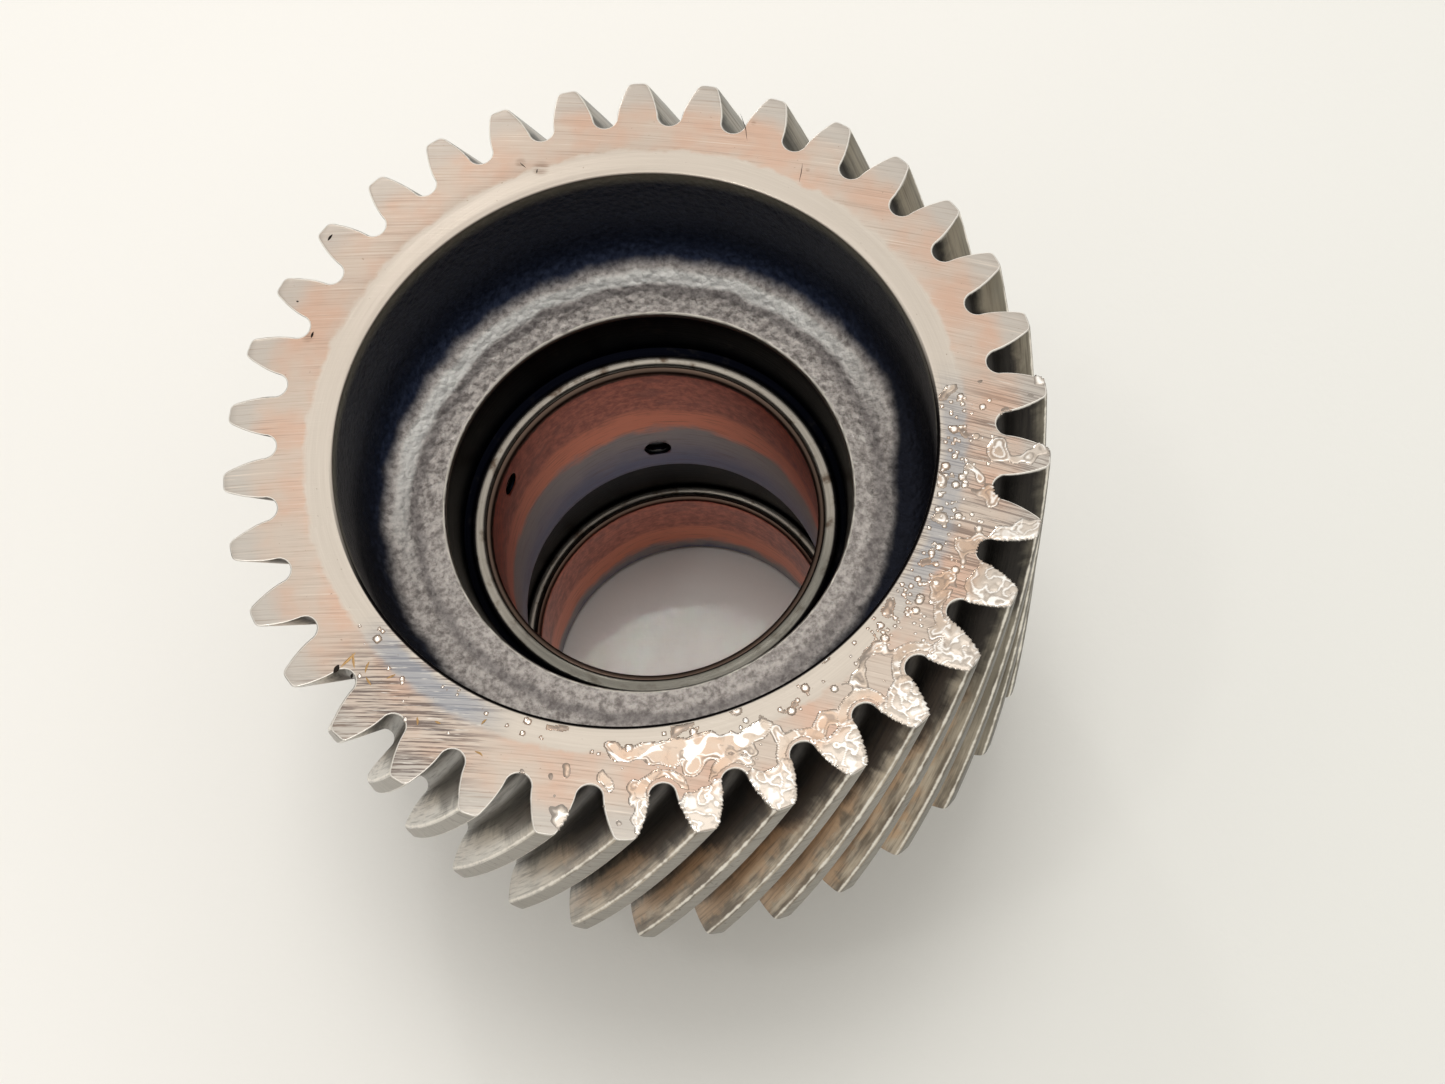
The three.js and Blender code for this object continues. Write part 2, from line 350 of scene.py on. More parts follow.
def land_steel():
    """Tip lands: turned before hobbing, dull grey with handling nicks."""
    s = Shader("land_steel")
    marks = s.noise(s.join(s.times(s.angle, 3.0), s.radius, s.z), 3.0, 5.0, 0.65)
    nicks = s.between(s.noise(s.place, 1.1, 4.0, 0.6), 0.62, 0.7)
    base = s.mix(marks, (168, 162, 153), (126, 120, 111))
    dull_side = s.times(s.between(near(s, 5), 1.5, 0.9), 0.9)
    base = s.mix(dull_side, base, s.mix(marks, (98, 94, 84), (74, 70, 62)))
    base = s.mix(s.times(nicks, 0.6), base, (88, 82, 76))
    chatter = s.noise(s.join(s.times(s.angle, 4.0), 0.0, s.z), 1.4, 2.0, 0.5)
    base = s.mix(s.times(s.between(chatter, 0.56, 0.66), 0.35), base, (84, 80, 74))
    base = s.mix(s.worn_edge(), base, (222, 216, 206))
    rough = s.plus(s.times(marks, 0.2), 0.28)
    normal = s.bump(marks, 0.012, s.bump(nicks, -0.02))
    return s.finish(base, rough, normal)


def forged_steel():
    """Web and recess wall: forged and cleaned, dark with oil on the wall, with painted shade in the corner
    and a painted highlight on the ridge by the fillet.
    """
    s = Shader("forged_steel")
    grain = s.noise(s.place, 1.5, 5.0, 0.66)
    pits = s.cells(s.place, 1.3)
    cloud = s.noise(s.place, 0.3, 3.0, 0.5)
    wander = s.times(s.minus(cloud, 0.5), 1.6)
    edge = s.plus(s.radius, wander)
    web = s.mix(s.between(grain, 0.3, 0.68), (130, 122, 117), (208, 200, 193))
    upper = s.between(near_turn(s, 92), 1.7, 0.9)
    # Painted shade of a groove round the web, which the mesh doesn't have.
    groove = s.times(s.between(edge, 22.3, 23.1), s.between(edge, 24.2, 23.5))
    web = s.mix(s.times(groove, 0.5), web, (92, 86, 86))
    # Painted highlight on the ridge at the foot of the fillet, on the far side only.
    ridge_highlight = s.times(s.between(edge, 23.6, 24.3), s.between(edge, 25.9, 25.1))
    web = s.mix(s.times(s.times(ridge_highlight, upper), 0.8), web, (240, 238, 232))
    web = s.mix(s.blend(upper, 0.14, 0.0), web, (70, 66, 62))
    wall = s.mix(s.between(grain, 0.3, 0.7), (11, 19, 37), (34, 41, 59))
    wall = s.mix(s.blend(upper, 0.7, 0.0), wall, (20, 19, 22))
    # The web darkens into the wall's colour across the corner, partly as painted shade; on the lower side
    # the painted shade reaches further in.
    shaded_foot = s.between(near_turn(s, -55), 1.1, 0.7)
    base = s.mix(s.between(edge, s.blend(shaded_foot, 25.4, 23.5), s.blend(shaded_foot, 27.1, 25.2)), web, wall)
    base = s.mix(s.between(s.z, FRONT - 2.4, FRONT - 0.5), base, (128, 126, 112))
    rough = s.blend(s.between(edge, 25.8, 27.5), s.blend(grain, 0.46, 0.62), s.blend(grain, 0.32, 0.46))
    normal = s.bump(grain, 0.13, s.bump(pits, 0.09))
    return s.finish(base, rough, normal, metallic=0.85)


def dark_bore_steel():
    """The deep counterbore, its ledge and the bush seat: turned, painted near black as the shade deep in the
    bore.
    """
    s = Shader("dark_bore_steel")
    rings = s.noise(s.join(s.times(s.angle, 0.5), s.radius, s.z), 5.0, 4.0, 0.6)
    cloud = s.noise(s.place, 0.5, 4.0, 0.6)
    # Painted shade: near black, faintly blue, for the shade deep in the bore.
    base = s.mix(rings, (5, 6, 12), (15, 17, 26))
    base = s.mix(s.between(s.z, WEB_HEIGHT - 0.7, WEB_HEIGHT - 0.1), base, (176, 170, 160))
    base = s.mix(s.times(s.between(cloud, 0.55, 0.75), 0.4), base, (54, 50, 46))
    rough = s.blend(rings, 0.3, 0.45)
    return s.finish(base, rough, s.bump(rings, 0.02))


def turned_steel():
    """Hub, its end and the rear of the rim: plain turned steel."""
    s = Shader("turned_steel")
    rings = s.noise(s.join(s.times(s.angle, 0.8), s.radius, s.z), 5.0, 5.0, 0.62)
    cloud = s.noise(s.place, 0.22, 4.0, 0.55)
    base = s.mix(rings, (188, 180, 170), (140, 132, 122))
    base = s.mix(s.times(s.between(cloud, 0.4, 0.8), 0.5), base, (132, 112, 96))
    base = s.mix(s.times(s.attribute("wear"), 0.7), base, (214, 207, 197))
    rough = s.plus(s.times(rings, 0.2), 0.26)
    return s.finish(base, rough, s.bump(rings, 0.012))


def shell_steel():
    """Bush shells: turned end faces with two bright edges, stained brown between them."""
    s = Shader("shell_steel")
    rings = s.noise(s.join(s.times(s.angle, 0.7), s.times(s.radius, 2.0), s.z), 6.0, 3.0, 0.6)
    cloud = s.noise(s.place, 0.6, 4.0, 0.6)
    base = s.mix(rings, (160, 153, 142), (124, 117, 107))
    base = s.mix(s.between(cloud, 0.5, 0.72), base, (88, 74, 62))
    base = s.mix(s.times(s.between(near(s, -90), 1.4, 0.9), 0.65), base, (84, 84, 77))
    rough = s.blend(rings, 0.24, 0.38)
    return s.finish(base, rough, s.bump(rings, 0.01))


def lining_bronze(name, top, worn_from, worn_to, rim):
    """Bush lining: copper bronze, with a brighter ring and then worn grey, by depth below its top end.
    rim is the depth of the dark edge at the top."""
    s = Shader(name)
    rings = s.noise(s.join(s.times(s.angle, 1.2), 0.0, s.z), 3.0, 4.0, 0.62)
    cloud = s.noise(s.join(s.x, s.y, s.times(s.z, 1.6)), 0.22, 5.0, 0.62)
    mottle = s.noise(s.place, 1.1, 4.0, 0.65)
    depth = s.minus(top, s.z)
    wandering = s.plus(depth, s.times(s.minus(cloud, 0.5), 5.0))
    base = s.mix(s.between(mottle, 0.3, 0.7), (208, 132, 112), (164, 100, 88))
    base = s.mix(s.times(s.between(cloud, 0.5, 0.64), 0.45), base, (140, 96, 90))
    base = s.mix(s.between(wandering, worn_from - 5.8, worn_from - 3.8), base, (230, 146, 118))
    base = s.mix(s.between(wandering, worn_from - 1.2, worn_from + 1.0), base, (150, 144, 146))
    base = s.mix(s.between(wandering, worn_from + 1.0, worn_to), base, (100, 103, 130))
    base = s.mix(s.times(s.between(rings, 0.5, 0.72), 0.4), base, (104, 78, 74))
    dark_rim = s.between(s.plus(depth, s.times(mottle, rim)), rim * 1.5, rim * 1.2)
    base = s.mix(dark_rim, base, (92, 76, 66))
    rough = s.blend(rings, 0.26, 0.42)
    return s.finish(base, rough, s.bump(rings, 0.01))


def film_oil():
    """Oil on the face, thin and clear, so it has a gloss and the colour of the steel under it, with painted
    dark outlines and painted highlights.
    """
    s = Shader("film_oil")
    patches = s.noise(s.join(s.x, s.y, 0.0), 0.16, 3.0, 0.55)
    streaks = s.noise(s.place, 0.9, 3.0, 0.6, 0.6)
    base = s.mix(s.between(patches, 0.35, 0.68), (190, 174, 157), (192, 160, 134))
    base = s.mix(s.between(s.radius, 34.5, 36.5), base, (200, 188, 174))
    base = s.mix(s.times(s.between(streaks, 0.5, 0.7), 0.4), base, (140, 124, 108))
    # Painted shade along the oil's outlines and painted highlights where it would catch the light.
    base = s.mix(s.times(s.attribute("outline"), 0.7), base, (98, 89, 82))
    base = s.mix(s.times(s.attribute("painted_glint"), 0.9), base, (255, 252, 246))
    s.surface.inputs["Coat Weight"].default_value = 1.0
    s.surface.inputs["Coat Roughness"].default_value = 0.02
    return s.finish(base, 0.11)


def swarf():
    """Shavings of bush bronze, bright and yellow."""
    s = Shader("swarf")
    grain = s.noise(s.place, 4.0, 3.0, 0.6)
    base = s.mix(grain, (236, 198, 140), (188, 142, 92))
    return s.finish(base, s.blend(grain, 0.25, 0.4), s.bump(grain, 0.01))


def grime():
    """Burrs and chips, black with dirty oil."""
    s = Shader("grime")
    grain = s.noise(s.place, 3.0, 3.0, 0.6)
    base = s.mix(grain, (20, 18, 18), (56, 48, 42))
    return s.finish(base, s.blend(grain, 0.35, 0.6), s.bump(grain, 0.02))


def floor_paper():
    """Pale paper, with painted shade making it a little greyer towards one corner."""
    s = Shader("floor_paper")
    fibres = s.noise(s.place, 0.8, 5.0, 0.6)
    tint = s.noise(s.place, 0.008, 2.0, 0.5)
    # Painted shade: the paper greys off towards the lower right, where less light falls.
    towards = s.minus(s.times(s.x, 0.72), s.times(s.y, 0.69))
    base = s.mix(tint, (239, 236, 230), (233, 230, 223))
    base = s.mix(s.times(s.between(towards, -70, 110), 0.5), base, (212, 213, 206))
    return s.finish(base, 0.7, s.bump(fibres, 0.04), metallic=0.0)


# ------------------------------------------------------------------------------------------------ meshes


def make_object(name, points, faces, materials, finish_of_face=None, sharp=32.0):
    """A smooth-shaded mesh object from points in millimetres, with creases kept sharp."""
    mesh = bpy.data.meshes.new(name)
    mesh.from_pydata((np.asarray(points) * MM).tolist(), [], faces)
    for material in materials:
        mesh.materials.append(material)
    if finish_of_face is not None:
        mesh.polygons.foreach_set("material_index", np.asarray(finish_of_face, np.int32))
    mesh.shade_smooth()
    mesh.set_sharp_from_angle(angle=math.radians(sharp))
    mesh.validate()
    made = bpy.data.objects.new(name, mesh)
    bpy.context.scene.collection.objects.link(made)
    return made


def arc(centre, radius, start, end, steps):
    """Points [radius, height] on an arc, from just after its start to its end."""
    angles = np.radians(np.linspace(start, end, steps + 1)[1:])
    return [[centre[0] + radius * math.cos(a), centre[1] + radius * math.sin(a)] for a in angles]


def line(start, end, steps):
    """Points from just after start to end."""
    shares = np.linspace(0, 1, steps + 1)[1:]
    return [[start[0] + (end[0] - start[0]) * t, start[1] + (end[1] - start[1]) * t] for t in shares]


def circle(radius, height, count, turn=0.0):
    angles = -HALF_PITCH + turn + np.arange(count) * 2 * math.pi / count
    return np.stack([radius * np.cos(angles), radius * np.sin(angles), np.full(count, float(height))], 1)


def joined(start, first, second):
    """Faces between two closed rings of points, from start on. Their counts may differ by a factor of 2."""
    a = start + np.arange(first)
    b = start + first + np.arange(second)
    if first == second:
        return np.stack([a, np.roll(a, -1), np.roll(b, -1), b], 1).tolist()
    if first == 2 * second:
        low, middle, high = a[0::2], a[1::2], np.roll(a[0::2], -1)
        corners = [[i, j, k] for i, j, k in zip(low, middle, b)]
        quads = [[i, j, k, m] for i, j, k, m in zip(middle, high, np.roll(b, -1), b)]
    else:
        low, middle, high = b[0::2], b[1::2], np.roll(b[0::2], -1)
        corners = [[i, k, j] for i, j, k in zip(low, middle, a)]
        quads = [[k, m, j, i] for i, j, k, m in zip(middle, high, a, np.roll(a, -1))]
    return [[int(i) for i in face] for face in corners + quads]


def involute(angle):
    return np.tan(angle) - angle


def tooth_half_angle(radius):
    """Half the angle that a tooth fills at a radius on its flank."""
    flank = involute(np.arccos(np.minimum(1.0, BASE_RADIUS / np.asarray(radius, float))))
    return TOOTH_SHARE * HALF_PITCH + involute(PRESSURE) - flank


def root_rounding():
    rounding = 1.0
    for _ in range(20):
        centre = ROOT_RADIUS + rounding
        rounding = float(centre * (HALF_PITCH - tooth_half_angle(centre)))
    return rounding


TIP_CORNER = 0.45


def half_tooth():
    """Points from the middle of a space to the middle of the next tooth's tip, which lies on +X."""
    rounding = root_rounding()
    foot = ROOT_RADIUS + rounding
    points = []
    for step in range(ROOT_STEPS):
        turn = math.pi / 2 * step / ROOT_STEPS
        local = complex(foot - rounding * math.cos(turn), rounding * math.sin(turn))
        points.append(local * complex(math.cos(-HALF_PITCH), math.sin(-HALF_PITCH)))
    for radius in np.linspace(foot, TIP_RADIUS - TIP_CORNER, FLANK_STEPS + 1):
        angle = -tooth_half_angle(radius)
        points.append(radius * complex(math.cos(angle), math.sin(angle)))
    corner = TIP_RADIUS * np.exp(-1j * tooth_half_angle(TIP_RADIUS))
    land_start = TIP_RADIUS * np.exp(1j * (np.angle(corner) + TIP_CORNER / TIP_RADIUS))
    flank_end = points[-1]
    for t in np.linspace(0, 1, CORNER_STEPS + 1)[1:]:
        points.append((1 - t) ** 2 * flank_end + 2 * t * (1 - t) * corner + t * t * land_start)
    for t in np.linspace(0, 1, LAND_STEPS + 1)[1:]:
        points.append(TIP_RADIUS * np.exp(1j * np.angle(land_start) * (1 - t)))
    return np.array(points)


def gear_outline():
    """All the teeth, counter-clockwise from the middle of the space before the tooth on +X."""
    half = half_tooth()
    pitch = np.concatenate([half, np.conj(half[::-1])[1:-1]])
    return np.concatenate([pitch * np.exp(2j * HALF_PITCH * tooth) for tooth in range(TEETH)])


OUTLINE = gear_outline()
OUTWARDS = -1j * (np.roll(OUTLINE, -1) - np.roll(OUTLINE, 1))
OUTWARDS /= np.abs(OUTWARDS)


def tooth_ring(height, inset):
    """The outline at a height, turned by the helix and moved inwards by inset."""
    turned = (OUTLINE - OUTWARDS * inset) * np.exp(1j * (height - LENGTH) * TWIST)
    return np.stack([turned.real, turned.imag, np.full(len(turned), float(height))], 1)


EDGE = 0.14  # rounding where the flanks meet the ground face
REAR_EDGE = 0.35


def body_profile():
    """The gear body's turned surfaces from the front face to the rear face, each as its finish and a
    list of [radius, height]."""
    edge = 0.22
    web_corner = [RECESS_RADIUS - WEB_FILLET, WEB_HEIGHT + WEB_FILLET]
    foot = [COUNTERBORE_FOOT, shell_high.z]
    bore_edge = 0.3
    hub_corner = [HUB_RADIUS + RELIEF_FILLET, RELIEF_TOP - RELIEF_FILLET]
    rim_corner = [RELIEF_RADIUS - RELIEF_FILLET, RELIEF_TOP - RELIEF_FILLET]
    return [
        ("face", [[BAND_RADIUS + 0.15, FRONT], [BAND_RADIUS - 0.15, BAND_HEIGHT]]
         + line([BAND_RADIUS - 0.15, BAND_HEIGHT], [RECESS_RADIUS + edge, BAND_HEIGHT], 4)
         + arc([RECESS_RADIUS + edge, BAND_HEIGHT - edge], edge, 90, 180, 3)),
        ("forged", line([RECESS_RADIUS, BAND_HEIGHT - edge], [RECESS_RADIUS, web_corner[1]], 8)
         + arc(web_corner, WEB_FILLET, 0, -90, 10)
         + line([web_corner[0], WEB_HEIGHT], [COUNTERBORE_RADIUS + bore_edge, WEB_HEIGHT], 15)),
        ("bore", arc([COUNTERBORE_RADIUS + bore_edge, WEB_HEIGHT - bore_edge], bore_edge, 90, 180, 3)
         + line([COUNTERBORE_RADIUS, WEB_HEIGHT - bore_edge], foot, 4)
         + line(foot, [SEAT_RADIUS, foot[1] - SEAT_CHAMFER], 2)
         + line([SEAT_RADIUS, foot[1] - SEAT_CHAMFER], [SEAT_RADIUS, SEAT_CHAMFER], 4)),
        ("turned", line([SEAT_RADIUS, SEAT_CHAMFER], [SEAT_RADIUS + SEAT_CHAMFER, 0], 1)
         + line([SEAT_RADIUS + SEAT_CHAMFER, 0], [HUB_RADIUS - HUB_CHAMFER, 0], 2)
         + arc([HUB_RADIUS - HUB_CHAMFER, HUB_CHAMFER], HUB_CHAMFER, -90, 0, 3)
         + line([HUB_RADIUS, HUB_CHAMFER], [HUB_RADIUS, hub_corner[1]], 5)
         + arc(hub_corner, RELIEF_FILLET, 180, 90, 5)
         + line([hub_corner[0], RELIEF_TOP], [rim_corner[0], RELIEF_TOP], 1)
         + arc(rim_corner, RELIEF_FILLET, 90, 0, 5)
         + line([RELIEF_RADIUS, rim_corner[1]], [RELIEF_RADIUS, REAR + 0.3], 1)
         + arc([RELIEF_RADIUS + 0.3, REAR + 0.3], 0.3, 180, 270, 2)
         + line([RELIEF_RADIUS + 0.3, REAR], [COARSE_CIRCLE, REAR], 2)),
    ]


FINISHES = ("face", "forged", "bore", "turned", "flank", "land")


def gear_rings():
    """Closed rings of points all round the body's section, each with the finish between it and the last."""
    rear_turn = (REAR - LENGTH) * TWIST
    rings = []
    front_outline = tooth_ring(FRONT, EDGE)
    for t in (0, 0.12, 0.35, 0.65):
        rings.append((front_outline * (1 - t) + circle(FACE_CIRCLE, FRONT, FINE) * t, "face"))
    rings.append((circle(FACE_CIRCLE, FRONT, FINE), "face"))
    rings.append((circle(COARSE_CIRCLE, FRONT, COARSE), "face"))
    profile = [(finish, point) for finish, points in body_profile() for point in points]
    for index, (finish, (radius, height)) in enumerate(profile):
        turn = rear_turn * (index + 1) / len(profile)
        rings.append((circle(radius, height, COARSE, turn), finish))
    rear_outline = tooth_ring(REAR, REAR_EDGE)
    for t in (1, 0.6, 0.25, 0):
        inner = circle(FACE_CIRCLE, REAR, FINE, rear_turn)
        rings.append((rear_outline * (1 - t) + inner * t, "turned"))
    for share in (60, 30, 0):
        lift = REAR_EDGE * (1 - math.sin(math.radians(share)))
        inset = REAR_EDGE * (1 - math.cos(math.radians(share)))
        rings.append((tooth_ring(REAR + lift, inset), "flank"))
    low, high = REAR + REAR_EDGE, FRONT - EDGE
    for height in np.linspace(low, high, TOOTH_SLICES + 1)[1:]:
        rings.append((tooth_ring(height, 0), "flank"))
    for share in (35, 65):
        lift = EDGE * math.sin(math.radians(share))
        inset = EDGE * (1 - math.cos(math.radians(share)))
        rings.append((tooth_ring(FRONT - EDGE + lift, inset), "flank"))
    return rings


def roughened(points, finish):
    """Moves the forged surfaces a little, as forging leaves them."""
    if finish != "forged":
        return points
    moved = points.copy()
    for index, point in enumerate(points):
        at = Vector(point)
        push = 0.07 * noise.noise(at * 0.9) + 0.045 * noise.noise(at * 2.3 + Vector((7, 0, 0)))
        outwards = Vector((point[0], point[1], 0)).normalized()
        climb = min(1.0, max(0.0, (point[2] - WEB_HEIGHT) / WEB_FILLET))
        fade = min(1.0, max(0.0, (FRONT - 0.8 - point[2])))
        moved[index] += np.array(outwards * push * climb + Vector((0, 0, push * (1 - climb)))) * fade
    return moved


def gear_body(materials):
    rings = gear_rings()
    points, faces, finishes = [], [], []
    start = 0
    sizes = [len(ring) for ring, _ in rings]
    for ring, finish in rings:
        points.append(roughened(ring, finish))
    for index in range(len(rings)):
        following = (index + 1) % len(rings)
        if following:
            made = joined(start, sizes[index], sizes[following])
        else:
            last = start + np.arange(sizes[index])
            first = np.arange(sizes[0])
            made = np.stack([last, np.roll(last, -1), np.roll(first, -1), first], 1).tolist()
        faces += made
        finish = rings[following][1] if following else "flank"
        finishes += [FINISHES.index(finish)] * len(made)
        start += sizes[index]
    points = np.concatenate(points)
    finishes = np.array(finishes)
    quads = np.array([face if len(face) == 4 else face + face[-1:] for face in faces])
    centre = points[quads].mean(1)
    at_tip = np.hypot(centre[:, 0], centre[:, 1]) > TIP_RADIUS - 0.06
    on_land = (finishes == FINISHES.index("flank")) & at_tip
    finishes[on_land] = FINISHES.index("land")
    body = make_object("gear_body_steel", points, faces, materials, finishes)
    add_wear(body, points)
    return body


def add_wear(body, points):
    """An attribute that is 1 on edges brightened by handling: the tips' long edges and both ends."""
    radius = np.hypot(points[:, 0], points[:, 1])
    height = points[:, 2]
    on_tip = np.clip(1 - np.abs(radius - (TIP_RADIUS - TIP_CORNER * 0.5)) / (TIP_CORNER * 0.75), 0, 1)
    on_end = np.clip(1 - np.minimum(np.abs(height - FRONT), np.abs(height - REAR)) / 0.3, 0, 1)
    on_teeth = (radius > 33.3) & (height > REAR - 0.1)
    wear = np.where(on_teeth, np.maximum(on_tip, on_end), 0)
    attribute = body.data.attributes.new("wear", "FLOAT", "POINT")
    attribute.data.foreach_set("value", wear.astype(np.float32))


def turned_ring(name, profile, materials, count=360):
    """A ring turned from a closed profile of [radius, height], which runs up on its outside."""
    rings = [circle(radius, height, count) for radius, height in profile]
    faces = []
    for index in range(len(rings)):
        a = index * count + np.arange(count)
        b = ((index + 1) % len(rings)) * count + np.arange(count)
        faces += np.stack([a, np.roll(a, -1), np.roll(b, -1), b], 1).tolist()
    return make_object(name, np.concatenate(rings), faces, materials)


def bush_shell(name, low, high, materials):
    inner, outer = LINING_OUTER + 0.05, SHELL_OUTER
    chamfer = 0.35
    profile = (
        [[inner, low], [outer - chamfer, low]]
        + arc([outer - chamfer, low + chamfer], chamfer, -90, 0, 3)
        + line([outer, low + chamfer], [outer, high - chamfer], 4)
        + arc([outer - chamfer, high - chamfer], chamfer, 0, 90, 4)
        + [[inner + 0.62, high], [inner + 0.5, high - 0.06]]  # a shallow groove round the end face
        + [[inner + 0.25, high - 0.06], [inner + 0.1, high], [inner, high - 0.12]]
        + line([inner, high - 0.12], [inner, low], 4)[:-1]
    )
    return turned_ring(name, profile, materials)


def bush_lining(name, low, high, materials):
    outer, bore = LINING_OUTER, BORE_RADIUS
    profile = (
        [[bore + REAR_ROUND, low], [outer, low]]
        + line([outer, low], [outer, high - 0.05], 4)
        + [[outer - 0.1, high - 0.02]]
        + arc([bore + 0.5, high - BORE_CHAMFER], 0.5, 80, 180, 5)
        + line([bore, high - BORE_CHAMFER], [bore, low + REAR_ROUND], 24)
        + arc([bore + REAR_ROUND, low + REAR_ROUND], REAR_ROUND, 180, 250, 3)
    )
    return turned_ring(name, profile, materials)


def drilling(name, hole, reach, materials):
    """A long plug in the shape of a hole that runs outwards and falls towards the rear by its slope."""
    start = BORE_RADIUS / 2
    slope = math.radians(hole["slope"])
    mouth = BORE_RADIUS - start
    rings = []
    count = HOLE_SIDES
    angles = np.arange(count) * 2 * math.pi / count
    for distance in (0.0, (reach - start) / math.cos(slope)):
        sides = [hole["radius"] * np.cos(angles), hole["radius"] * np.sin(angles)]
        rings.append(np.stack([np.full(count, distance), *sides], 1))
    points = np.concatenate(rings)
    tilt = Matrix.Rotation(slope, 3, "Y")
    turn = Matrix.Rotation(math.radians(hole["angle"]), 3, "Z")
    lift = hole["height"] + mouth * math.tan(slope)
    placed = [turn @ (tilt @ Vector(p) + Vector((start, 0, lift))) for p in points]
    side = [[i, (i + 1) % count, count + (i + 1) % count, count + i] for i in range(count)]
    ends = [list(range(count - 1, -1, -1)), list(range(count, 2 * count))]
    return make_object(name, [list(p) for p in placed], side + ends, materials)


def cut(piece, *tools):
    """Cuts the tools out of a piece and keeps the result as its mesh."""
    for tool in tools:
        modifier = piece.modifiers.new("cut", "BOOLEAN")
        modifier.operation = "DIFFERENCE"
        modifier.solver = "EXACT"
        modifier.material_mode = "TRANSFER"
        modifier.object = tool
    graph = bpy.context.evaluated_depsgraph_get()
    result = bpy.data.meshes.new_from_object(piece.evaluated_get(graph))
    piece.modifiers.clear()
    piece.data = result


def smooth(values, low, high):
    """0 below low, 1 above high, and smooth in between."""
    t = np.clip((values - low) / (high - low), 0, 1)
    return t * t * (3 - 2 * t)


def waves(x, y, scale, seed):
    return np.array([noise.noise(Vector((a * scale, b * scale, seed))) for a, b in zip(x, y)])


FILM_FROM, FILM_TO = -124.0, -8.0  # azimuths of the oiled side
BEADS_FROM = -166.0
FILM_STEP = 0.1
FILM_FOOT, FILM_EDGE = -0.04, -0.006  # its bottom and its thinnest top, from the steel face
FILM_LIMIT = 0.1  # the most that its top rises above its thinnest
BEAD_COUNT = 230


def oil_layer(x, y, radius, azimuth, inside):
    """The oil on the face: its height in millimetres, its painted dark outlines and its painted highlights
    on the crests.
    """
    blobs = waves(x, y, 0.42, 3.1) + 0.45 * waves(x, y, 0.95, 8.7)
    drift = 4 * waves(x, y, 0.3, 6.2)
    azimuth = azimuth + 1.6 * drift + 3 * waves(x, y, 0.8, 9.9)
    radius = radius + 0.9 * waves(x, y, 0.45, 2.2) + 0.5 * waves(x, y, 1.1, 7.7)
    tips = smooth(radius, 34.4, 35.4) * smooth(azimuth + drift, -106, -98) * smooth(drift - azimuth, 28, 36)
    pool = smooth(-np.abs(radius - 31.2 + 0.12 * drift), -1.2, -0.3)
    pool = pool * smooth(-np.abs(azimuth + 93), -17, -12)
    pinned = (smooth(inside, 0.3, 0.6) * smooth(-inside, -1.5, -1.0) * smooth(-radius, -35.2, -34.4)
              * smooth(azimuth, -114, -108) * smooth(-azimuth, 44, 50))
    spots = smooth(azimuth, -118, -110) * smooth(-azimuth, 10, 16) * smooth(radius, 30.6, 31.8)
    level = np.maximum(0.9 * tips - 0.25, 0.8 * pool - 0.3) + 0.25 * blobs
    level = np.maximum(level, 0.75 * pinned - 0.2 + 0.6 * blobs)
    level = np.maximum(level, blobs - 0.2 - 0.5 * (1 - spots))
    rim = smooth(level, 0.0, 0.12) + 0.35 * smooth(level, 0.05, 0.14) * smooth(-level, -0.26, -0.16)
    folds = waves(x, y, 0.95, 5.5) + 0.3 * waves(x, y, 1.9, 2.5)
    swell = waves(x, y, 0.7, 1.9)
    height = 0.042 * rim * (1 + 0.9 * np.abs(folds) * tips + 0.25 * swell) * smooth(inside, 0.05, 0.3)

    # Painted shade along the edges of the oil and its folds.
    outline = smooth(level, 0.0, 0.03) * smooth(-level, -0.11, -0.07)
    fold_sides = smooth(np.abs(folds), 0.07, 0.11) * smooth(-np.abs(folds), -0.2, -0.14)
    outline = np.maximum(outline, 0.5 * tips * fold_sides)
    outline = np.maximum(outline, 0.7 * smooth(level, 0.23, 0.26) * smooth(-level, -0.32, -0.29))
    painted_glint = smooth(level, 0.1, 0.13) * smooth(-level, -0.19, -0.15) * smooth(swell, -0.25, 0.1)
    inner_ring = smooth(level, 0.33, 0.36) * smooth(-level, -0.43, -0.4)
    painted_glint = np.maximum(painted_glint, 0.8 * inner_ring * smooth(swell, -0.2, 0.1))
    painted_glint = np.maximum(painted_glint, 0.9 * tips * smooth(-np.abs(folds), -0.07, -0.03))
    painted_glint = np.maximum(painted_glint, 0.6 * tips * smooth(folds, 0.3, 0.5))
    # A painted highlight bar along the pool.
    wavering = 31.3 + 0.3 * drift + 0.5 * waves(x, y, 0.9, 4.4) - 0.002 * (azimuth + 97) ** 2
    bar = smooth(0.32 + 0.6 * waves(x, y, 0.5, 7.3) - np.abs(radius - wavering), 0.0, 0.12)
    bar = bar * smooth(-np.abs(azimuth + 97), -15.5, -13.5)
    painted_glint = np.maximum(painted_glint, bar * smooth(level, 0.0, 0.1))
    return height, outline, painted_glint


def add_beads(layer, x, y, random):
    """Small round beads of oil, most of them towards the recess, each with a painted dark ring and a painted
    highlight in its middle.
    """
    height, outline, painted_glint = layer
    for _ in range(BEAD_COUNT):
        turn = math.radians(random.uniform(-60, -10) if random.random() < 0.7 else random.uniform(-160, -60))
        reach = random.uniform(29.1, 31.6) if random.random() < 0.75 else random.uniform(31.6, 34.0)
        size = random.uniform(0.08, 0.2) if random.random() < 0.8 else random.uniform(0.2, 0.4)
        apart = np.hypot(x - reach * math.cos(turn), y - reach * math.sin(turn)) / size
        height = np.maximum(height, np.sqrt(np.clip(1 - apart ** 2, 0, 1)) * size * 0.3)
        outline = np.where(apart < 1.05, 0.6 * smooth(apart, 0.7, 0.95), outline)
        painted_glint = np.where(apart < 1.05, smooth(-apart, -0.7, -0.4), painted_glint)
    return height, outline, painted_glint


